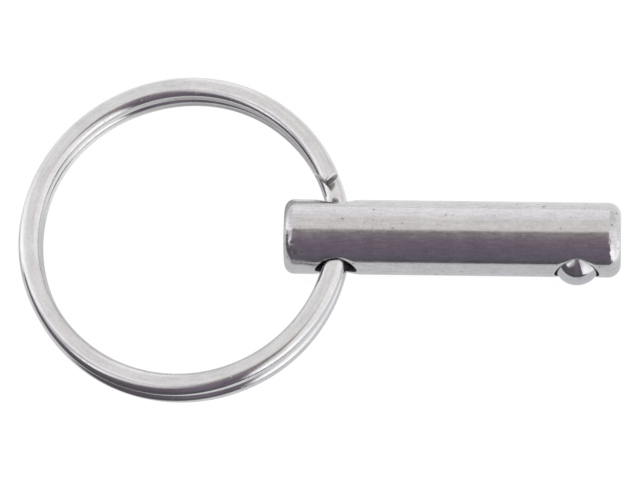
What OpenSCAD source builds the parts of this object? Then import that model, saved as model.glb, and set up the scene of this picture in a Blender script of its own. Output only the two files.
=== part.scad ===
// Ring locking pin: a quarter-inch shank with a spring-loaded ball near its
// tip and a split ring through a cross hole in its head. It lies as it comes
// to rest, with the shank and the far side of the ring on one flat surface.
// Origin: on the shank's axis at the centre of the ring hole. +X runs along
// the shank to its tip, +Z is up and the ball looks towards -Y.

/* [Shank] */
// Diameter of the shank
shank_d = 6.35; // [5:0.05:10]
// Length of the shank
shank_l = 28.5; // [22:0.1:60]
// Radius of the rounding round the head end of the shank
head_round = 1; // [0.3:0.05:1.4]
// Radius of the rounding round the tip of the shank
tip_round = 1.4; // [0.3:0.05:1.6]

/* [Ring hole] */
// Least gap between the ring's wires and the wall of the cross hole
ring_play = 0.1; // [0.06:0.02:0.6]
// Distance from the head end of the shank to the middle of the ring hole
ring_hole_x = 4.4; // [3.8:0.1:8]
// Radius of the rounding round both mouths of the cross hole
mouth_round = 0.45; // [0.2:0.05:0.6]

/* [Ball detent] */
// Diameter of the ball
ball_d = 3.97; // [2.9:0.01:4.2]
// Distance from the tip of the shank to the middle of the ball
ball_x = 3.7; // [3:0.1:8]
// Height of the ball above the shank's surface when it is out
ball_out = 0.78; // [0.5:0.02:0.9]
// Play between the ball and the wall of its pocket, on the diameter
pocket_play = 0.06; // [0.04:0.01:0.2]
// How far the staked lip of the pocket closes in over the ball, on the diameter
lip_stake = 0.43; // [0.1:0.01:0.5]
// Radius of the rounding round the mouth of the ball's pocket
lip_round = 0.27; // [0.1:0.01:0.3]
// Depth of the pocket's flat floor past the shank's axis
pocket_floor = 1.8; // [1.4:0.1:2]

/* [Ball spring] */
// Gap between the ball's spring and the wall of its pocket
spring_play = 0.45; // [0.1:0.05:0.6]
// Diameter of the spring's wire
spring_wire = 0.3; // [0.2:0.02:0.34]
// Number of turns in the spring
spring_turns = 3.5; // [3:0.5:4]

/* [Split ring] */
// Diameter of the ring at the middle of its wire
ring_d = 26.5; // [20:0.2:40]
// Width of the flattened wire, across the ring
wire_w = 1.9; // [1.4:0.05:2]
// Thickness of the flattened wire, along the ring's axis
wire_t = 1.5; // [1.2:0.05:1.6]
// Radius of the wire's rounded corners
wire_round = 0.6; // [0.2:0.05:0.65]
// Gap left between the two turns
turn_gap = 0.04; // [0.03:0.01:0.1]
// Angle round the ring where the inner edge of the upper turn is cut off
upper_end = 26; // [24:1:40]
// Angle round the ring where the inner edge of the lower turn is cut off
lower_end = 0; // [-4:1:0]
// Angle round the ring where the wire starts to step down to the lower turn
step_start = 5; // [5:1:8]
// Slant of the sheared wire ends
end_slant = 33; // [0:1:35]

/* [Hidden] */
$fn = 96;
steel = "#c9c8c6";
ring_steel = "#d3d3d2";
ball_steel = "#dcdcde";
spring_steel = "#8f9194";

shank_r = shank_d / 2;
ball_r = ball_d / 2;
past_skin = shank_r + 1;         // where a cutter ends, outside the shank
ball_at = shank_l - ring_hole_x - ball_x;

// The pocket: bore, staked lip and the place of the ball along the pocket.
pocket_r = ball_r + pocket_play / 2;
lip_r = ball_r - lip_stake / 2;
seat_play = 0.01;                // left between the ball and its seat
ball_h = shank_r + ball_out - ball_r;
lip_h = ball_h + sqrt(pow(ball_r + seat_play, 2) - pow(lip_r, 2));
seat_h = lip_h - 2 * (pocket_r - lip_r);

// The spring stands on the pocket's floor and its top turn bears on the ball.
spring_r = pocket_r - spring_play - spring_wire / 2;
spring_touch = ball_r + spring_wire / 2 + seat_play;
spring_top = ball_h - sqrt(pow(spring_touch, 2) - pow(spring_r, 2));
spring_bottom = -pocket_floor + spring_wire / 2 + seat_play;

// The ring: the two turns lie half a pitch above and below its middle. The step
// from one to the other is over before the outer corner of the upper turn's end.
ring_r = ring_d / 2;
half_pitch = (wire_t + turn_gap) / 2;
step_end = upper_end - asin(wire_w * tan(end_slant) / ring_r);

// The bowed wire is centred in the ring hole: it lies half its bow to the tip's
// side of the hole's middle inside, and half its bow to the other at the mouths.
bow = ring_r - sqrt(pow(ring_r, 2) - pow(shank_r, 2));
throw = ring_r - bow / 2;        // from the ring hole to the ring's middle
corner_out = bow / 2 + wire_w / 2 - wire_round;
corner_up = half_pitch + wire_t / 2 - wire_round;
ring_hole_r = norm([corner_out, corner_up]) + wire_round + ring_play;

// Slope at which the ring's far side comes down to the surface under the shank.
reach = throw + ring_r + wire_w / 2 - wire_round;
ring_slope = asin((shank_r - wire_round) / norm([reach, corner_up])) - atan2(corner_up, reach);

// One quarter-round corner of the wire's section, as points about its centre.
function arc_points(centre, radius, from, steps) =
    [for (i = [0:steps]) centre + radius * [cos(from + 90 * i / steps), sin(from + 90 * i / steps)]];

// The wire's section less a thin skin: x outwards from the ring's middle, y
// along its axis.
corner_steps = 5;
function wire_section(skin) =
    let (x = wire_w / 2 - wire_round, y = wire_t / 2 - wire_round, r = wire_round - skin)
    concat(
        arc_points([x, -y], r, -90, corner_steps),
        arc_points([x, y], r, 0, corner_steps),
        arc_points([-x, y], r, 90, corner_steps),
        arc_points([-x, -y], r, 180, corner_steps)
    );

// A tube's faces between rings of n points, with a flat cap at each end.
function tube_faces(rings, n) = concat(
    [[for (j = [0:n - 1]) n - 1 - j]],
    [[for (j = [0:n - 1]) (rings - 1) * n + j]],
    [
        for (i = [0:rings - 2], j = [0:n - 1], half = [0, 1])
        let (a = i * n + j, b = i * n + (j + 1) % n)
        half == 0 ? [a, b, a + n] : [b, b + n, a + n]
    ]
);

// The bar with its two rounded ends, before it is drilled.
module shank_body() {
    face_r = shank_r - max(head_round, tip_round);
    translate([-ring_hole_x, 0, 0])
        rotate([0, 90, 0])
            rotate_extrude()
                union() {
                    square([face_r, shank_l]);
                    translate([0, head_round]) square([shank_r, shank_l - head_round - tip_round]);
                    square([shank_r - head_round, shank_l / 2]);
                    translate([shank_r - head_round, head_round]) circle(head_round);
                    translate([shank_r - tip_round, shank_l - tip_round]) circle(tip_round);
                }
}

// The cutter for a hole of radius r along +Z: a straight bore, then a quarter
// round that opens the mouth out to the shank's skin. The round starts a hair
// inside the bore, which leaves one faint edge between the two.
module mouth_profile(r, round) {
    centre = r + round - 0.01;
    h = shank_r - 0.97 * round;
    difference() {
        polygon([[0, 0], [r, 0], [r, h], [centre, h], [centre, past_skin], [0, past_skin]]);
        translate([centre, h]) circle(round);
    }
}

// The ring hole, open at both sides of the shank.
module ring_hole() {
    rotate_extrude()
        union() {
            mouth_profile(ring_hole_r, mouth_round);
            mirror([0, 1]) mouth_profile(ring_hole_r, mouth_round);
        }
}

// The ball pocket: a flat-bottomed bore, a cone that the ball seats against and
// the staked lip, whose mouth is rounded over.
module ball_pocket() {
    rotate_extrude()
        union() {
            polygon([
                [0, -pocket_floor],
                [pocket_r, -pocket_floor],
                [pocket_r, seat_h],
                [lip_r, lip_h],
                [0, lip_h]
            ]);
            mouth_profile(lip_r, lip_round);
        }
}

module shank() {
    color(steel)
        difference() {
            shank_body();
            rotate([90, 0, 0]) ring_hole();
            translate([ball_at, 0, 0])
                rotate([90, 0, 0])
                    ball_pocket();
        }
}

module detent_ball() {
    color(ball_steel)
        translate([ball_at, -ball_h, 0])
            sphere(ball_r);
}

// A closed-end compression spring: the wire's centre climbs slowly through the
// first and last turns and evenly in between.
module detent_spring() {
    sides = 8;
    steps = 26;
    rings = round(spring_turns * steps);
    rise = spring_top - spring_bottom;
    closed = spring_wire / rise;
    function climb(turn) =
        turn < 1 ? closed * turn :
        turn > spring_turns - 1 ? 1 - closed * (spring_turns - turn) :
        closed + (1 - 2 * closed) * (turn - 1) / (spring_turns - 2);
    points = [
        for (i = [0:rings], j = [0:sides - 1])
        let (
            turn = i / steps,
            side = 360 * j / sides,
            r = spring_r + spring_wire / 2 * cos(side)
        )
        [r * cos(360 * turn), r * sin(360 * turn),
            spring_bottom + rise * climb(turn) + spring_wire / 2 * sin(side)]
    ];
    color(spring_steel)
        translate([ball_at, 0, 0])
            rotate([90, 0, 0])
                polyhedron(points, tube_faces(rings + 1, sides));
}

// One flat turn of the ring between two angles, level 1 above and -1 below.
module turn(level, from, to) {
    flat_w = wire_w - 2 * wire_round;
    flat_t = wire_t - 2 * wire_round;
    translate([0, 0, level * half_pitch])
        rotate([0, 0, from])
            rotate_extrude(angle = to - from, $fn = 180)
                translate([ring_r, 0])
                    union() {
                        square([wire_w, flat_t], center = true);
                        square([flat_w, wire_t], center = true);
                        for (x = [-1, 1], y = [-1, 1])
                            translate([x * flat_w / 2, y * flat_t / 2])
                                circle(wire_round, $fn = 40);
                    }
}

// The bend where the wire steps from the upper turn down to the lower one. It
// is a hair slimmer than the turns and its ends run a little way into them.
module step_down() {
    rings = 22;
    run = step_end - step_start;
    section = wire_section(0.01);
    n = len(section);
    points = [
        for (i = [-1:rings + 1], p = section)
        let (
            angle = step_start + run * i / rings,
            level = cos(180 * min(max(i / rings, 0), 1))
        )
        [(ring_r + p.x) * cos(angle), (ring_r + p.x) * sin(angle), p.y + level * half_pitch]
    ];
    polyhedron(points, tube_faces(rings + 3, n));
}

// What a slanted shear takes off a wire end, and all beyond it. The outer edge
// is left the longer. side is 1 where the wire runs on to larger angles.
module shear(level, angle, side) {
    cut = 1.2 * wire_w;
    translate([0, 0, level * half_pitch])
        rotate([0, 0, angle])
            translate([ring_r - wire_w / 2, 0, -wire_t])
                rotate([0, 0, -side * end_slant])
                    translate([-wire_w / 2, side > 0 ? -cut : 0, 0])
                        cube([2 * wire_w, cut, 2 * wire_t]);
}

module split_ring() {
    past = 0.3;
    spare = 6;
    color(ring_steel)
        rotate([0, -ring_slope, 0])
            translate([-throw, 0, 0])
                union() {
                    difference() {
                        turn(1, upper_end - spare, 360 + step_start + past);
                        shear(1, upper_end, 1);
                    }
                    step_down();
                    difference() {
                        turn(-1, step_end - past, 360 + lower_end + spare);
                        shear(-1, 360 + lower_end, -1);
                    }
                }
}

shank();
detent_spring();
detent_ball();
split_ring();
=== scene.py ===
import bmesh
import bpy
import numpy as np
from mathutils import Matrix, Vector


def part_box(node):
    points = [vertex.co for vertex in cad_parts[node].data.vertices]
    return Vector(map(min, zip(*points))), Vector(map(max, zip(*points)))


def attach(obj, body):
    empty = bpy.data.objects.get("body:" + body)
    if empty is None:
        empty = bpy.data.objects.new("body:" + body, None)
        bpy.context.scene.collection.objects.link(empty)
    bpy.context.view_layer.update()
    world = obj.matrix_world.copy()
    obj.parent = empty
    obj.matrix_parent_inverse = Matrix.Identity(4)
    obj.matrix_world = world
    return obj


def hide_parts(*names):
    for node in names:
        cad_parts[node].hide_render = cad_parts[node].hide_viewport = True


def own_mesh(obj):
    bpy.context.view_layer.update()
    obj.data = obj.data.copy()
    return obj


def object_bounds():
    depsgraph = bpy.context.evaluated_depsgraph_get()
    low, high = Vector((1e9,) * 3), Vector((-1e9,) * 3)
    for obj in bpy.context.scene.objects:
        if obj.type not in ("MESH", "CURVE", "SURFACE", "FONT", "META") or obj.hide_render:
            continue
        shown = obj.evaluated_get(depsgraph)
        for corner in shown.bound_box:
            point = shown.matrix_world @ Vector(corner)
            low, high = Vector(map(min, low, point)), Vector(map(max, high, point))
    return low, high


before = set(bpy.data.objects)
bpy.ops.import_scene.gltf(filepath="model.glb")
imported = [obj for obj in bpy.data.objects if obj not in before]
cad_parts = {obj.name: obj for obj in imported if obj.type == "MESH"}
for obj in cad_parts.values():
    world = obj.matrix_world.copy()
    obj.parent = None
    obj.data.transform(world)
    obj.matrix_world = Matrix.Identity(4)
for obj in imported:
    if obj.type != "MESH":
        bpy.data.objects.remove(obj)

MM = 0.001
cad_box = [list(corner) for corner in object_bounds()]


# ---------------------------------------------------------------------------
# The shank. A quarter-inch steel bar, turned and cut to length, drilled across
# for the ring and from one side for the ball, then tumbled until every edge
# and both hole mouths are round and the skin is bright with faint pits.
# ---------------------------------------------------------------------------

head, tip = np.array(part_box("shank")) / MM
shank_r = -head[1]
head_x, tip_x = head[0], tip[0]
ball_low, ball_high = np.array(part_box("detent_ball")) / MM
ball_x = (ball_low[0] + ball_high[0]) / 2
ball_r = (ball_high[0] - ball_low[0]) / 2
ball_y = (ball_low[1] + ball_high[1]) / 2
head_round, tip_round = 0.82, 1.10
ring_hole_r = 1.775
mouth_round, mouth_drop = 0.52, 0.22
pocket_play, seat_play = 0.06, 0.01
pocket_r = ball_r + pocket_play / 2
lip_r = ball_r - 0.085
lip_h = -ball_y + np.sqrt((ball_r + seat_play) ** 2 - lip_r ** 2)
seat_h = lip_h - 2 * (pocket_r - lip_r)
lip_round, lip_drop = 0.4, 0.1
pocket_floor, floor_round = -1.8, 0.1


def new_mesh(name, points, faces):
    """A mesh object from points in millimetres and faces as an array of rows of
    corners, where a row of four whose last two agree is a triangle."""
    mesh = bpy.data.meshes.new(name)
    mesh.from_pydata((points * MM).tolist(), [], [f[:3] if f[2] == f[3] else f for f in faces.tolist()])
    mesh.update()
    piece = bpy.data.objects.new(name, mesh)
    bpy.context.scene.collection.objects.link(piece)
    mesh.polygons.foreach_set("use_smooth", np.ones(len(mesh.polygons), bool))
    return piece


def grid_faces(rows, columns, closed):
    """The quads of a grid of rows by columns of points that are numbered row by
    row. A closed grid joins its last column to its first."""
    i = np.arange(rows - 1)[:, None]
    j = np.arange(columns if closed else columns - 1)[None, :]
    k = (j + 1) % columns
    here, there = i * columns, (i + 1) * columns
    return np.stack([here + j, here + k, there + k, there + j], -1).reshape(-1, 4)


def join(parts):
    """Several (points, faces) as one, with the faces renumbered."""
    counts = np.cumsum([0] + [len(p) for p, _ in parts])
    return (np.concatenate([p for p, _ in parts]),
            np.concatenate([f + c for (_, f), c in zip(parts, counts)]))


def straight_mouth(azimuth):
    """The edge of the ring hole: its radius, and how wide and deep its rounding is."""
    return ring_hole_r + 0 * azimuth, mouth_round, mouth_drop


def staked_mouth(azimuth):
    """The edge of the ball's pocket, on the cone that closes in over the ball. It
    is tightest along the shank, where the skin stands highest, and the staking
    has left a wide and shallow rounding."""
    radius = lip_r + 0 * azimuth
    for _ in range(30):
        height = np.sqrt(shank_r ** 2 - (radius * np.sin(azimuth)) ** 2) - lip_drop
        radius = np.clip(pocket_r - (height - seat_h) / 2, lip_r, pocket_r)
    return radius, lip_round, lip_drop


def mouth_patch(centre_x, mouth, half_x, half_turn, across, along):
    """The skin round a hole that comes out towards -Y, from the hole's edge to a
    rectangle on the shank. At distance d from the hole's axis the skin, of height
    sqrt(R2 - z2), is worn down by drop * (1 - sqrt(1 - b2)), a quarter of an
    ellipse, where b = 1 - (d - hole) / wide goes from 0 to 1 at the hole's edge.
    Rows run outwards, columns round the rectangle."""
    side_x = np.linspace(-1, 1, along + 1)
    side_z = np.linspace(-1, 1, across + 1)
    bx = np.concatenate([side_x[:-1], np.ones(across), -side_x[:-1], -np.ones(across)])
    bz = np.concatenate([-np.ones(along), side_z[:-1], np.ones(along), -side_z[:-1]])
    azimuth = np.arctan2(bz, bx)
    edge = np.stack([bx * half_x, shank_r * np.sin(bz * half_turn)], -1)
    hole_r, wide, drop = mouth(azimuth)
    arc = hole_r + wide * (1 - np.cos(np.radians(np.linspace(0, 90, 15))))[:, None]
    rim = arc[..., None] * np.stack([np.cos(azimuth), np.sin(azimuth)], -1)
    share = np.linspace(0, 1, 14)[1:, None, None]
    flat = np.concatenate([rim, rim[-1] * (1 - share) + edge * share])
    far = np.hypot(flat[..., 0], flat[..., 1])
    skin = np.sqrt(np.maximum(shank_r ** 2 - flat[..., 1] ** 2, 0))
    bend = np.clip(1 - (far - hole_r) / wide, 0, 1)
    height = skin - drop * (1 - np.sqrt(1 - bend ** 2))
    return np.stack([flat[..., 0] + centre_x, -height, flat[..., 1]], -1)


half_turn = np.radians(62)
across = 44
ring_half, ring_along = 3.0, 44
ball_half, ball_along = 2.42, 42
near = mouth_patch(0, straight_mouth, ring_half, half_turn, across, ring_along)
far_side = near * [1, -1, 1]
pocket = mouth_patch(ball_x, staked_mouth, ball_half, half_turn, across, ball_along)

rows, columns = near.shape[:2]
bore = near[0] + (far_side[0] - near[0]) * np.linspace(0, 1, 13)[:, None, None]
parts = [
    (near.reshape(-1, 3), grid_faces(rows, columns, True)),
    (far_side.reshape(-1, 3), grid_faces(rows, columns, True)[:, ::-1]),
    (bore.reshape(-1, 3), grid_faces(13, columns, True)[:, ::-1]),
]

# Down the pocket from its lip: the cone that the ball seats against, the bore
# and its floor.
rows, columns = pocket.shape[:2]
spoke = (pocket[0] - [ball_x, 0, 0]) * [1, 0, 1]
spoke /= np.linalg.norm(spoke, axis=1, keepdims=True)
seat = np.minimum(seat_h, -pocket[0, :, 1] - 0.02)
down = [(pocket_r, seat), (pocket_r, 1.2), (pocket_r, 0), (pocket_r, pocket_floor + floor_round),
        (pocket_r - floor_round, pocket_floor), (0.9, pocket_floor), (0.01, pocket_floor)]
well = np.stack([pocket[0]] + [
    np.stack([ball_x + r * spoke[:, 0], -h + 0 * seat, r * spoke[:, 2]], -1) for r, h in down])
parts += [
    (pocket.reshape(-1, 3), grid_faces(rows, columns, True)),
    (well.reshape(-1, 3), grid_faces(len(well), columns, True)[:, ::-1]),
]

# The plain skin: lines along the shank at the angles of the patches, and
# lines round it at their stations. The cells that the patches fill are left out.
between = 20
turn_a = np.linspace(-half_turn, half_turn, across + 1)
turn_b = np.linspace(half_turn, np.pi - half_turn, between + 1)[1:-1]
turns = np.concatenate([turn_a, turn_b, np.pi + turn_a, np.pi + turn_b])
flat_x0, flat_x1 = head_x + head_round, tip_x - tip_round
stations = np.concatenate([
    np.linspace(flat_x0, -ring_half, 5)[:-1],
    np.linspace(-ring_half, ring_half, ring_along + 1),
    np.linspace(ring_half, ball_x - ball_half, 70)[1:-1],
    np.linspace(ball_x - ball_half, ball_x + ball_half, ball_along + 1),
    [flat_x1],
])
xs, ts = np.meshgrid(stations, turns, indexing="ij")
skin = np.stack([xs, -shank_r * np.cos(ts), shank_r * np.sin(ts)], -1)
cells = grid_faces(len(stations), len(turns), True)
mid_x = np.repeat((stations[:-1] + stations[1:]) / 2, len(turns))
column = np.tile(np.arange(len(turns)), len(stations) - 1)
on_near = column < across
on_far = (column >= across + between) & (column < 2 * across + between)
at_ring = np.abs(mid_x) < ring_half
at_ball = np.abs(mid_x - ball_x) < ball_half
keep = ~((at_ring & (on_near | on_far)) | (at_ball & on_near))
parts.append((skin.reshape(-1, 3), cells[keep][:, ::-1]))


def round_end(x_flat, x_end):
    """A rounded end: a quarter circle from the skin at x_flat in to the flat face
    at x_end, then the face in to its middle."""
    q = np.radians(np.linspace(0, 90, 13))
    side, bend = np.sign(x_end - x_flat), abs(x_end - x_flat)
    face = shank_r - bend
    r = np.concatenate([face + bend * np.cos(q), [0.7 * face, 0.4 * face, 0.01]])
    x = np.concatenate([x_flat + side * bend * np.sin(q), [x_end] * 3])
    points = np.stack([x[:, None] + 0 * turns, -r[:, None] * np.cos(turns), r[:, None] * np.sin(turns)], -1)
    faces = grid_faces(len(r), len(turns), True)
    return points.reshape(-1, 3), faces[:, ::-1] if side > 0 else faces


parts += [round_end(flat_x0, head_x), round_end(flat_x1, tip_x)]
shank = new_mesh("turned_shank", *join(parts))
# The drilled faces are marked cut, and the steel paints them a dark painted shade, the shade inside the
# holes.
drilled = [2, 4]  # the ring hole's bore and the ball's pocket, among the parts
cut = np.concatenate([np.full(len(faces), i in drilled, float) for i, (_, faces) in enumerate(parts)])
shank.data.attributes.new("cut", "FLOAT", "FACE").data.foreach_set("value", cut)


def merged(piece):
    """Merges the piece's doubled points and turns its faces outwards."""
    b = bmesh.new()
    b.from_mesh(piece.data)
    bmesh.ops.remove_doubles(b, verts=b.verts, dist=1e-7)
    bmesh.ops.recalc_face_normals(b, faces=b.faces)
    b.to_mesh(piece.data)
    b.free()
    return piece


merged(shank)
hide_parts("shank")
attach(shank, "pin")


class Value:
    """A number that varies over a surface: wraps a shader socket, so that maths
    written in Python adds the Math nodes for it."""

    def __init__(self, tree, socket):
        self.tree, self.socket = tree, socket

    def _math(self, operation, *inputs):
        return self.tree.node("ShaderNodeMath", {"operation": operation}, *inputs)

    def __add__(self, other): return self._math("ADD", self, other)
    def __radd__(self, other): return self._math("ADD", other, self)
    def __sub__(self, other): return self._math("SUBTRACT", self, other)
    def __mul__(self, other): return self._math("MULTIPLY", self, other)
    def __truediv__(self, other): return self._math("DIVIDE", self, other)
    def __pow__(self, other): return self._math("POWER", self, other)


class Finish:
    """A node tree under construction: a material's, or the world's."""

    def __init__(self, owner):
        owner.use_nodes = True
        self.owner, self.nodes, self.links = owner, owner.node_tree.nodes, owner.node_tree.links
        self.nodes.clear()

    def node(self, kind, settings={}, *inputs, out=0, **named):
        """Any node: its type, its settings, then its sockets' values or links, in
        order or by name. Gives its output as a Value."""
        n = self.nodes.new(kind)
        stops = settings.get("stops")
        for key, value in settings.items():
            if key != "stops":
                setattr(n, key, value)
        if stops:
            ramp = n.color_ramp
            while len(ramp.elements) < len(stops):
                ramp.elements.new(0.5)
            for element, (place, colour) in zip(ramp.elements, stops):
                element.position, element.color = place, (*colour, 1)
        for key, value in [*enumerate(inputs), *[(k.replace("_", " "), v) for k, v in named.items()]]:
            if isinstance(value, Value):
                self.links.new(value.socket, n.inputs[key])
            elif value is not None:
                n.inputs[key].default_value = value
        return Value(self, n.outputs[out]) if len(n.outputs) else None

    def smooth(self, value, low, high, to_low=0.0, to_high=1.0):
        """A smooth step between two values, which may fall instead of rise."""
        settings = {"interpolation_type": "SMOOTHSTEP"}
        return self.node("ShaderNodeMapRange", settings, value, low, high, to_low, to_high)

    def blend(self, share, a, b):
        """Colour a, with a share of colour b mixed in."""
        n = self.nodes.new("ShaderNodeMix")
        n.data_type = "RGBA"
        for socket, value in ((n.inputs[0], share), (n.inputs[6], a), (n.inputs[7], b)):
            if isinstance(value, Value):
                self.links.new(value.socket, socket)
            else:
                socket.default_value = value if isinstance(value, float) else (*value, 1)
        return Value(self, n.outputs[2])

    def axes(self, vector):
        """A vector's x, y and z."""
        split = self.nodes.new("ShaderNodeSeparateXYZ")
        self.links.new(vector.socket, split.inputs[0])
        return [Value(self, o) for o in split.outputs]

    def vector(self, x, y, z):
        return self.node("ShaderNodeCombineXYZ", {}, x, y, z)

    def noise(self, place, scale, detail, roughness):
        return self.node("ShaderNodeTexNoise", {}, place, Scale=scale, Detail=detail, Roughness=roughness)


def steel(name, tint, rough, place_of, streak, mottle, pit, wave, spots=0.0, knock=0.0, nicks=(),
          raw_and_shade_tint=(0.21, 0.185, 0.21)):
    """Bright steel. place_of gives coordinates along the drawn streaks, across them
    and a third, in millimetres, and how knocked about the surface is, from 0 to 1.
    streak, pit, wave and knock set how deep each mark is, mottle how much the tone
    varies and spots how dark the pits are. Each nick is a dent: its place, radius
    and depth in millimetres, and how dark it is. Where the attribute cut is 1 the
    metal is drilled or sheared and rougher, and takes the cut tint, the last
    argument: by default a dark painted shade, the shade inside the shank's holes,
    while the ring gives its sheared ends their own greyer metal."""
    material = bpy.data.materials.new(name)
    f = Finish(material)
    place = f.node("ShaderNodeTexCoord", {}, out=3)
    along, around, third, corner = place_of(f, place)
    lines = f.noise(f.vector(along * 0.06, around * 9.0, third), 1.0, 3.0, 0.6)
    smears = f.noise(f.vector(along * 0.8, around * 3.4, third + 7.0), 1.0, 5.0, 0.7)
    cloud = f.noise(place, 450.0, 3.0, 0.55)
    grain = f.noise(place, 3900.0, 2.0, 0.6)
    pits = f.smooth(f.noise(place, 2300.0, 1.0, 0.4), 0.66, 0.80)
    waves = f.noise(place, 330.0, 1.0, 0.4)
    dents = f.noise(place, 2100.0, 2.0, 0.5)
    raw_and_shade = f.node("ShaderNodeAttribute", {"attribute_name": "cut"}, out=2)
    tone = (smears - 0.5) * 1.4 + (lines - 0.5) * 0.4 + (grain - 0.5) * 0.65 + (cloud - 0.5) * 0.6
    colour = f.blend(tone * mottle + 0.5, [c * 0.72 for c in tint], [c * 1.28 for c in tint])
    colour = f.blend(pits * spots, colour, [c * 0.35 for c in tint])
    # Cut faces take the cut tint: on the shank's drilled bore and pocket a dark painted shade inside the
    # holes, on the ring's sheared ends their own greyer metal.
    colour = f.blend(raw_and_shade, colour, raw_and_shade_tint)
    roughness = rough + (lines - 0.5) * 0.1 + (smears - 0.5) * 0.2 + (cloud - 0.5) * 0.1
    roughness = roughness + pits * 0.2 + raw_and_shade * 0.4
    height = lines * streak + waves * wave - pits * pit + dents * corner * knock
    for spot, radius, depth, dark in nicks:
        far = f.node("ShaderNodeVectorMath", {"operation": "DISTANCE"}, place, [c * MM for c in spot], out=1)
        dent = f.smooth(far, radius * MM, 0.0)
        height = height - dent * depth
        colour = f.blend(dent * dark, colour, [c * 0.3 for c in tint])
    bump = f.node("ShaderNodeBump", {}, Strength=1.0, Distance=MM, Height=height)
    shader = f.node("ShaderNodeBsdfPrincipled", {}, Base_Color=colour, Metallic=1.0, Roughness=roughness,
                    Normal=bump)
    f.node("ShaderNodeOutputMaterial", {}, shader)
    return material


def on_skin(x, turn):
    """The point of the shank's skin at x and at turn degrees round from -Y by +Z."""
    past = max(head_x + head_round - x, 0) / head_round + max(x - tip_x + tip_round, 0) / tip_round
    bend = head_round if x < 0 else tip_round
    r = shank_r - bend + bend * np.sqrt(1 - past ** 2)
    return x, -r * np.cos(np.radians(turn)), r * np.sin(np.radians(turn))


def shank_place(f, place):
    """Along the bar and round it; knocked about on the rounding of its ends."""
    x, y, z = f.axes(place)
    to_end = f.node("ShaderNodeMath", {"operation": "ABSOLUTE"}, x - (head_x + tip_x) / 2 * MM)
    half = (tip_x - head_x) / 2 * MM
    turn = f.node("ShaderNodeMath", {"operation": "ARCTAN2"}, z, y)
    return x / MM, turn * shank_r, 0.0, f.smooth(to_end, half - 1.6 * MM, half - 0.7 * MM, 0.04, 1.0)


# Two dents in the rounding of the head and five in that of the tip, three of
# them with dirt in them.
edge_nicks = [
    (on_skin(head_x + 0.86, 48), 0.40, 0.06, 0.0), (on_skin(head_x + 0.80, 62), 0.30, 0.02, 0.0),
    (on_skin(tip_x - 0.40, 123), 0.24, 0.02, 0.7), (on_skin(tip_x - 0.78, 97), 0.20, 0.02, 0.75),
    (on_skin(tip_x - 0.23, 58), 0.26, 0.02, 0.5), (on_skin(tip_x - 0.95, 70), 0.30, 0.015, 0.0),
    (on_skin(tip_x - 0.75, 52), 0.25, 0.015, 0.0),
]
# The shank keeps the default cut tint, a dark painted shade inside its bore and pocket.
shank.data.materials.append(steel(
    "turned_steel", (0.68, 0.675, 0.675), 0.16, shank_place, streak=0.0013, mottle=0.75, pit=0.0006,
    wave=0.003, spots=0.5, knock=0.022, nicks=edge_nicks))


# ---------------------------------------------------------------------------
# The ball. A stock 5/32 in bearing ball, ground and polished, dropped into its
# pocket on the spring and held by the lip that is staked in over it.
# ---------------------------------------------------------------------------

def ball_points(n):
    """A sphere as six square grids pushed out to the radius: no poles. Each
    grid's lines are spread by tan, so that its cells come out near equal."""
    s = np.tan(np.linspace(-1, 1, n + 1) * np.pi / 4)
    u, v = np.meshgrid(s, s, indexing="ij")
    one = np.ones_like(u)
    sides = [(u, v, one), (v, u, -one), (one, u, v), (-one, v, u), (v, one, u), (u, -one, v)]
    grids = []
    for side in sides:
        p = np.stack(side, -1).reshape(-1, 3)
        p *= ball_r / np.linalg.norm(p, axis=1, keepdims=True)
        grids.append((p + [ball_x, ball_y, 0], grid_faces(n + 1, n + 1, False)))
    return join(grids)


ball = merged(new_mesh("bearing_ball", *ball_points(32)))
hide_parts("detent_ball")
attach(ball, "ball")


def ball_place(f, place):
    """No direction of its own, and not knocked about."""
    x, y, z = f.axes(place)
    return x / MM, y / MM, z / MM, 0.0


ball.data.materials.append(steel(
    "polished_ball", (0.65, 0.65, 0.655), 0.09, ball_place, streak=0.0, mottle=0.25, pit=0.001, wave=0.0012))


# ---------------------------------------------------------------------------
# The spring under the ball. A few turns of drawn wire wound with closed ends;
# it stands on the pocket's floor and its top turn bears on the ball.
# ---------------------------------------------------------------------------

spring_low, spring_high = np.array(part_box("detent_spring")) / MM
spring_wire = 0.3
spring_r = (spring_high[0] - spring_low[0] - spring_wire) / 2
spring_turns = 3.5


def carried(centres, outward, upward, section):
    """A section carried along a path: at each of the path's centres stands the
    section's (out, up) points on the given outward and upward directions. The
    first and last sections are closed by a fan to their middle, and these two
    caps come last among the faces."""
    rings = centres[:, None] + section[..., :1] * outward[:, None] + section[..., 1:] * upward[:, None]
    n, m = rings.shape[:2]
    j = np.arange(m)
    k = (j + 1) % m
    middles = np.stack([rings[0].mean(0), rings[-1].mean(0)])
    first = np.stack([k, j, j * 0 + n * m, j * 0 + n * m], -1)
    last = np.stack([(n - 1) * m + j, (n - 1) * m + k, j * 0 + n * m + 1, j * 0 + n * m + 1], -1)
    return (np.concatenate([rings.reshape(-1, 3), middles]),
            np.concatenate([grid_faces(n, m, True), first, last]))


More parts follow.
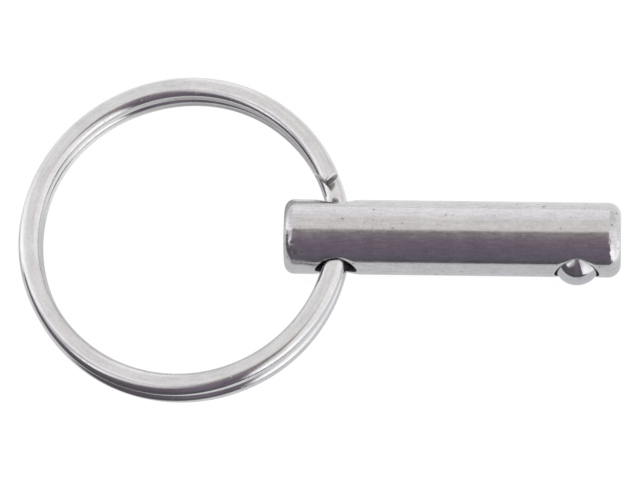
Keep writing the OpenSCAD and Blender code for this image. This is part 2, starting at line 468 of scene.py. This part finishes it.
turn = np.linspace(0, spring_turns, 240)
rise = spring_high[1] - spring_low[1] - spring_wire
closed = spring_wire / rise
climb = np.interp(turn, [0, 1, spring_turns - 1, spring_turns], [0, closed, 1 - closed, 1])
out = np.stack([np.cos(turn * 2 * np.pi), 0 * turn, -np.sin(turn * 2 * np.pi)], -1)
up = np.broadcast_to([0.0, -1.0, 0.0], out.shape)
centres = [ball_x, spring_high[1] - spring_wire / 2, 0] + out * spring_r + up * (rise * climb)[:, None]
round_wire = np.linspace(0, 2 * np.pi, 17)[:-1]
wire = np.stack([np.cos(round_wire), np.sin(round_wire)], -1) * spring_wire / 2
spring = merged(new_mesh("pocket_spring", *carried(centres, out, up, wire)))
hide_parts("detent_spring")
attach(spring, "pin")
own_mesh(spring)
spring.data.materials.append(steel(
    "drawn_spring_wire", (0.45, 0.45, 0.46), 0.3, ball_place, streak=0.0, mottle=0.3, pit=0.001, wave=0.0))


# ---------------------------------------------------------------------------
# The split ring. One length of spring wire, rolled to a flat-sided section and
# coiled into two turns that lie against each other. In the hole the wire steps
# down from one turn to the other, and both ends are sheared and tumbled round.
# ---------------------------------------------------------------------------

ring_r = 26.5 / 2
wire_w, wire_t, wire_round = 1.9, 1.5, 0.6
crown_r, corner_r, edge_r = 2.73, 0.70, 0.96
crown_lean, edge_lean = 7.0, 8.0
half_pitch = (wire_t + 0.04) / 2
upper_end, lower_end = 22.55, 723.45
step_start, step_end = 361.5, 376.7

# The wire's bow is centred in the hole, and from there the ring slopes down
# until the lower corner of its far side is level with the shank's lowest line.
bow = ring_r - np.sqrt(ring_r ** 2 - shank_r ** 2)
throw = ring_r - bow / 2
reach = throw + ring_r + wire_w / 2 - wire_round
corner_up = half_pitch + wire_t / 2 - wire_round
slope = np.arcsin((shank_r - wire_round) / np.hypot(reach, corner_up)) - np.arctan2(corner_up, reach)


def wire_section(inset):
    """A flat-rolled wire's section, less inset all round, as points at even steps
    of the skin's direction in each stretch. The curve's radius is crown_r on the
    flats, corner_r on the corners and edge_r on the edges, and a step in direction
    moves the point on by the radius times that step."""
    lean = np.radians([0, crown_lean, 90 - edge_lean, 90])
    turned = np.concatenate([np.linspace(lean[0], lean[1], 4)[:-1],
                             np.linspace(lean[1], lean[2], 9)[:-1],
                             np.linspace(lean[2], lean[3], 4)])
    middle = (turned[1:] + turned[:-1]) / 2
    radius = np.where(middle < lean[1], crown_r, np.where(middle < lean[2], corner_r, edge_r))
    step = radius * np.diff(turned)
    out_by = np.concatenate([[0], np.cumsum(step * np.cos(middle))])
    down_by = np.concatenate([[0], np.cumsum(step * np.sin(middle))])
    w, t = wire_w / 2, wire_t / 2
    out_by *= (w - inset) / out_by[-1]
    down_by *= (t - inset) / down_by[-1]
    quarter = np.stack([out_by, t - inset - down_by], -1)
    half = np.concatenate([quarter, quarter[-2::-1] * [1, -1]])
    return np.concatenate([half, half[-2:0:-1] * [-1, 1]])[::-1]


# Stations along the wire, closer together at its two ends, in degrees round the
# ring; the level goes from 1, the upper turn, to -1, the lower one.
close = np.degrees(0.3 / ring_r)
ease = np.concatenate([[0, 0.02, 0.06, 0.12, 0.2, 0.3, 0.42, 0.56, 0.72, 0.88], np.linspace(1, 8, 15)])
station = np.concatenate([upper_end + ease * close,
                          np.linspace(upper_end + 8 * close, lower_end - 8 * close, 900)[1:-1],
                          (lower_end - ease * close)[::-1]])
a = np.radians(station)
level = np.cos(np.pi * np.clip((station - step_start) / (step_end - step_start), 0, 1))
from_end = np.radians(np.minimum(station - upper_end, lower_end - station)) * ring_r
tumble = 0.22
inset = tumble - np.sqrt(np.maximum(tumble ** 2 - np.maximum(tumble - from_end, 0) ** 2, 0))
section = np.stack([wire_section(i) for i in inset])
radial = np.stack([np.cos(a), np.sin(a), 0 * a], -1)
axial = np.broadcast_to([0.0, 0.0, 1.0], radial.shape)


def hump(middle, before, after):
    """A smooth hump of height one along the wire, cos2 of how far a station is
    from its middle, that starts and ends so many degrees before and after it."""
    far = station - middle
    return np.cos(np.clip(np.where(far < 0, -far / before, far / after), 0, 1) * np.pi / 2) ** 2


# The turns are a little out of true, away from the hole: both lie closer in on
# the +Y side, and the lower one bulges on the -Y side.
bent_r = ring_r - 0.12 * hump(132, 70, 75) - 0.14 * hump(468, 50, 50) + 0.18 * hump(663, 95, 50)
centres = bent_r[:, None] * radial + half_pitch * level[:, None] * axial
points, faces = carried(centres, radial, axial, section)

# The shear: near an end the wire runs on in a blunt nose, a little inside its
# middle, and its two sides stop short. This fades out over two millimetres.
tangent = np.stack([-np.sin(a), np.cos(a), 0 * a], -1)
forward = np.where(station < (upper_end + lower_end) / 2, -1.0, 1.0)
near_end = np.clip(1 - from_end / 2.2, 0, 1)
fade = near_end ** 2 * (3 - 2 * near_end)
from_nose = section[..., 0] + 0.3
nose = 0.55 - 1.9 * np.maximum(-from_nose, 0) - 0.3 * np.maximum(from_nose, 0)
push = (forward * fade)[:, None] * nose
points[:-2] += (push[..., None] * tangent[:, None]).reshape(-1, 3)
points += [-throw, 0, 0]
c, s = np.cos(slope), np.sin(slope)
points = points @ np.array([[c, 0, s], [0, 1, 0], [-s, 0, c]])
ring = new_mesh("split_key_ring", points, faces)
# The sheared faces: four rows at each end, and the two caps, which come last.
row = section.shape[1]
cut = np.zeros(len(faces))
cut[:4 * row] = cut[-6 * row:] = 0.8
ring.data.attributes.new("cut", "FLOAT", "FACE").data.foreach_set("value", cut)
merged(ring)
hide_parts("split_ring")
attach(ring, "ring")

ring_centre = np.array([-throw * c, 0.0, -throw * s])


def ring_place(f, place):
    """Along the wire, and out from the ring's middle and up from its plane; a
    little knocked about all over."""
    x, y, z = f.axes(place)
    x, z = x - ring_centre[0] * MM, z - ring_centre[2] * MM
    flat, up = x * c + z * s, z * c - x * s
    far = (flat * flat + y * y) ** 0.5
    return (f.node("ShaderNodeMath", {"operation": "ARCTAN2"}, y, flat) * (ring_r * 0.7),
            far / MM, up / MM * 9.0, 0.05)


ring.data.materials.append(steel(
    "rolled_ring_wire", (0.79, 0.79, 0.78), 0.16, ring_place, streak=0.0014, mottle=0.6, pit=0.0002,
    wave=0.002, knock=0.01, raw_and_shade_tint=(0.46, 0.43, 0.41)))


# ---------------------------------------------------------------------------
# The floor: a white sheet that the pin lies on. It is plain white to look at,
# and the steel mirrors it as a glowing sheet of real size with painted shade,
# painted shadows and a painted glare on it.
# ---------------------------------------------------------------------------

floor_z, floor_half = cad_box[0][2] / MM, 600.0
corners = np.array([[-1, -1], [1, -1], [1, 1], [-1, 1]]) * floor_half
floor = new_mesh("floor", np.column_stack([corners, np.full(4, floor_z)]), np.array([[0, 1, 2, 3]]))
paper = bpy.data.materials.new("white_paper")
f = Finish(paper)
camera_ray, glossy_ray = f.node("ShaderNodeLightPath", {}, out=0), f.node("ShaderNodeLightPath", {}, out=3)
x, y, _ = f.axes(f.node("ShaderNodeTexCoord", {}, out=3))


def size_of(tree, value):
    """A value without its sign."""
    return tree.node("ShaderNodeMath", {"operation": "ABSOLUTE"}, value)


# In reflections the paper's tones are painted: bright behind the pin, a little
# greyer in front with painted shade, and a little way in front of the pin and of
# the ring a painted dark, the shade where the light falls off.
edge = f.smooth(x, -0.024, 0.004, -0.0125, -0.026)
clear_of_painted_dark = f.smooth(y - edge, -0.001, 0.0015)
beside = f.smooth(y, -0.004, 0.004)
mirrored = f.blend(clear_of_painted_dark, (0.10, 0.092, 0.105), f.blend(beside, (0.70, 0.70, 0.73), (0.92, 0.92, 0.93)))
# Painted shadows make it dull inside the ring, at the back right, and under the
# pin, and a painted glare brightens it past the pin's tip, at the front right.
inside = f.smooth(x, -0.003, -0.006) * f.smooth(x, -0.020, -0.013)
inside = inside * f.smooth(y, 0.0025, 0.004) * f.smooth(y, 0.0135, 0.011)
mirrored = f.blend(inside * 0.85, mirrored, (0.33, 0.32, 0.34))
under_pin = f.smooth(size_of(f, y), 0.0045, 0.001) * f.smooth(x, 0.03, 0.02)
mirrored = f.blend(under_pin * 0.45, mirrored, (0.45, 0.45, 0.47))
glare = f.smooth(x + y * 0.55, 0.025, 0.034) * f.smooth(y, 0.004, -0.002)
mirrored = f.blend(glare, mirrored, (1.25, 1.25, 1.27))
# Plain white to camera rays; in reflections, the painted tones above.
tone = f.blend(glossy_ray, (1.17, 1.17, 1.17), mirrored)
lit = f.node("ShaderNodeBsdfDiffuse", {}, (0.8, 0.8, 0.8, 1))
plain = f.node("ShaderNodeEmission", {}, tone, 1.0)
# To look at, only a fifth of it is lit, so that the pin's shadow on it is a faint
# one; in reflections it is all the painted glow; and from below it is clear.
shown = f.node("ShaderNodeMixShader", {}, camera_ray * 0.8 + glossy_ray, lit, plain)
from_below = f.node("ShaderNodeNewGeometry", {}, out=6)
f.node("ShaderNodeOutputMaterial", {}, f.node(
    "ShaderNodeMixShader", {}, from_below, shown, f.node("ShaderNodeBsdfTransparent", {})))
floor.data.materials.append(paper)


# ---------------------------------------------------------------------------
# The room, which lights the pin: a dark wall in front, one big soft light over
# it and behind, a bright window to the front right and pale walls to the sides.
# ---------------------------------------------------------------------------

world = bpy.context.scene.world or bpy.data.worlds.new("studio")
bpy.context.scene.world = world
f = Finish(world)
x, y, z = f.axes(f.node("ShaderNodeTexCoord", {}, out=0))


def ramp(tree, place, stops, warm=0.0):
    """A ramp of light round the room: each stop is a direction, in degrees, and a
    brightness. The dark ones go from bluish to brown, and warm yellows the
    middle tones."""
    def tint(b):
        if b < 0.3:
            t = (b - 0.14) / 0.12
            return b, b * (0.95 - 0.55 * t + 0.47 * t ** 2), b * (1.17 - 0.27 * t)
        yellow = warm * max(0, 1 - abs(b - 0.83) / 0.1)
        return b, b * (0.985 - 0.3 * max(0.7 - b, 0) - yellow / 2), b * (1.01 - yellow)
    stops = [((degrees + 180) / 360, tint(b)) for degrees, b in stops]
    return tree.node("ShaderNodeValToRGB", {"stops": stops}, place)


# Over the pin, from the horizon in front of it (-Y, at 0) past overhead (90) to
# the horizon behind (180): the dark side of the room, then the big soft light,
# which starts a little past overhead.
around = f.node("ShaderNodeMath", {"operation": "ARCTAN2"}, z, y * -1.0) / (2 * np.pi) + 0.5
over = ramp(f, around, [
    (-20, 0.14), (4, 0.14), (14, 0.16), (36, 0.18), (65, 0.205), (90, 0.26), (94, 0.29), (98, 0.83),
    (130, 0.83), (144, 0.94), (162, 1.03), (180, 1.08)], warm=0.06)
# Round the compass, from -180 (-X) by -90 (-Y), 0 (+X) and 90 (+Y): low down,
# a bright window to the front right, and high up, the evener ceiling.
compass = f.node("ShaderNodeMath", {"operation": "ARCTAN2"}, y, x) / (2 * np.pi) + 0.5
low = ramp(f, compass, [
    (-180, 0.48), (-160, 0.46), (-151, 1.45), (-143, 1.45), (-134, 0.48), (-72, 0.50), (-66, 0.90),
    (-59, 1.30), (-42, 1.35), (-34, 1.20), (-22, 0.95), (-6, 1.02), (8, 1.04), (20, 0.90), (36, 0.80),
    (50, 0.76), (68, 0.76), (90, 0.82), (115, 0.75), (137, 0.85), (152, 1.08), (160, 1.25), (172, 1.25),
    (177, 0.70), (180, 0.48)])
high = ramp(f, compass, [
    (-180, 0.64), (-158, 0.62), (-150, 0.95), (-142, 0.95), (-132, 0.60), (-110, 0.50), (-72, 0.50),
    (-54, 0.70), (-36, 0.89), (-22, 0.96), (0, 0.98), (30, 0.94), (50, 0.87), (68, 0.78), (90, 0.76),
    (115, 0.80), (150, 0.86), (164, 1.10), (174, 1.10), (180, 0.64)])
bright = f.blend(f.smooth(z, 0.4, 0.9), low, high)
# The dark wall reaches round to the front left, and ends at three edges.
right_edge = f.smooth(x + y * 0.38, 0.09, 0.05)
left_edge = f.node("ShaderNodeMath", {"operation": "MAXIMUM"},
                   f.smooth(z - x * 0.74, 1.08, 0.88), f.smooth(z, 0.56, 0.42))
top_edge = f.smooth(y + f.smooth(z, 0.40, 0.52) * 0.16, 0.13, 0.07)
wide = f.blend(right_edge * left_edge * top_edge, bright, (0.13, 0.11, 0.135))
# What lies straight over the pin's length follows the first ramp, the rest the
# compass. To look at, the background is plain white.
sky = f.blend(f.smooth(size_of(f, x), 0.08, 0.24), over, wide)
camera_ray = f.node("ShaderNodeLightPath", {}, out=0)
sky = f.blend(camera_ray, sky, (1.0, 1.0, 1.0))
back = f.node("ShaderNodeBackground", {}, sky, 1.0)
f.node("ShaderNodeOutputWorld", {}, back)

scene = bpy.context.scene
scene.view_settings.view_transform = "Standard"

# The camera looks down steeply from the front, from far off through a long
# lens, at a point just left of the ring hole and below it.
azimuth, elevation, roll = np.radians([10.6, 72.0, 9.4])
distance, view_wide, sensor = 450.0, 54.33, 36.0
level_out = np.array([np.sin(azimuth), -np.cos(azimuth), 0.0])
toward = level_out * np.cos(elevation) + [0.0, 0.0, np.sin(elevation)]
right = np.array([np.cos(azimuth), np.sin(azimuth), 0.0])
upward = np.cross(toward, right)
right, upward = right * np.cos(roll) - upward * np.sin(roll), right * np.sin(roll) + upward * np.cos(roll)
aim = -1.42 * right - 0.267 * upward
camera_data = bpy.data.cameras.new("camera")
camera = bpy.data.objects.new("camera", camera_data)
scene.collection.objects.link(camera)
scene.camera = camera
camera_data.sensor_width = sensor
camera_data.lens = sensor * distance / view_wide
camera_data.clip_start, camera_data.clip_end = 0.01, 10.0
place = np.eye(4)
place[:3, 0], place[:3, 1], place[:3, 2] = right, upward, toward
place[:3, 3] = (aim + toward * distance) * MM
camera.matrix_world = Matrix(place.tolist())
